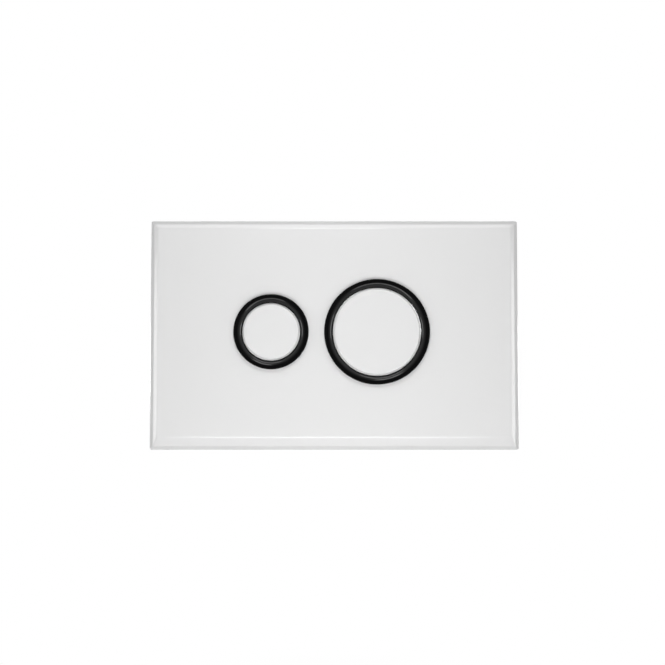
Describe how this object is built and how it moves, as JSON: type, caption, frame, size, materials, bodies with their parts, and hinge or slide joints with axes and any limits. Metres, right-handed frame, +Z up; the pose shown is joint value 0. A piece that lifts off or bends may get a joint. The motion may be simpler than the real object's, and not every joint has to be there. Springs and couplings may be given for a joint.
{
  "type": "flush button plate",
  "caption": "Bevelled white wall plate with a small and a large round push button in black trim rings, on a clip-in wall frame with fixing studs, for dual flush of a concealed cistern.",
  "frame": {"origin": "centre of the plate on the wall's face, midway between the two fixing studs", "axes": "+X to the right seen from the front, +Z up, +Y into the wall; the front faces -Y"},
  "size_m": [0.22, 0.0897, 0.137],
  "materials": {
    "white_gloss": "smooth glossy white moulding",
    "black_gloss": "smooth glossy black moulding",
    "spring_steel": "bright drawn wire",
    "screw_steel": "zinc-plated steel",
    "grey_plastic": "finely textured moulding",
    "frame_plastic": "finely textured moulding",
    "rod_nylon": "natural nylon",
    "nut_plastic": "dark satin moulding"
  },
  "bodies": {
    "wall_unit": {"face_plate": "white_gloss", "small_ring": "black_gloss", "large_ring": "black_gloss", "small_return_spring": "spring_steel", "large_return_spring": "spring_steel", "small_yoke": "grey_plastic", "large_yoke": "grey_plastic", "small_yoke_screws": "screw_steel", "large_yoke_screws": "screw_steel", "mounting_frame": "frame_plastic", "left_stud": "screw_steel", "right_stud": "screw_steel", "left_stud_nut": "nut_plastic", "right_stud_nut": "nut_plastic"},
    "small_button_group": {"small_button": "white_gloss", "small_push_rod": "rod_nylon", "small_rod_nut": "rod_nylon"},
    "large_button_group": {"large_button": "white_gloss", "large_push_rod": "rod_nylon", "large_rod_nut": "rod_nylon"}
  },
  "joints": [
    {"name": "small_button_press", "type": "slide", "parent": "wall_unit", "child": "small_button_group", "axis": [0, 1, 0], "range_m": [0, 0.006], "stiffness_N_per_m": 800, "springref_m": -0.006, "deforming": ["small_return_spring"]},
    {"name": "large_button_press", "type": "slide", "parent": "wall_unit", "child": "large_button_group", "axis": [0, 1, 0], "range_m": [0, 0.006], "stiffness_N_per_m": 800, "springref_m": -0.006, "deforming": ["large_return_spring"]}
  ]
}
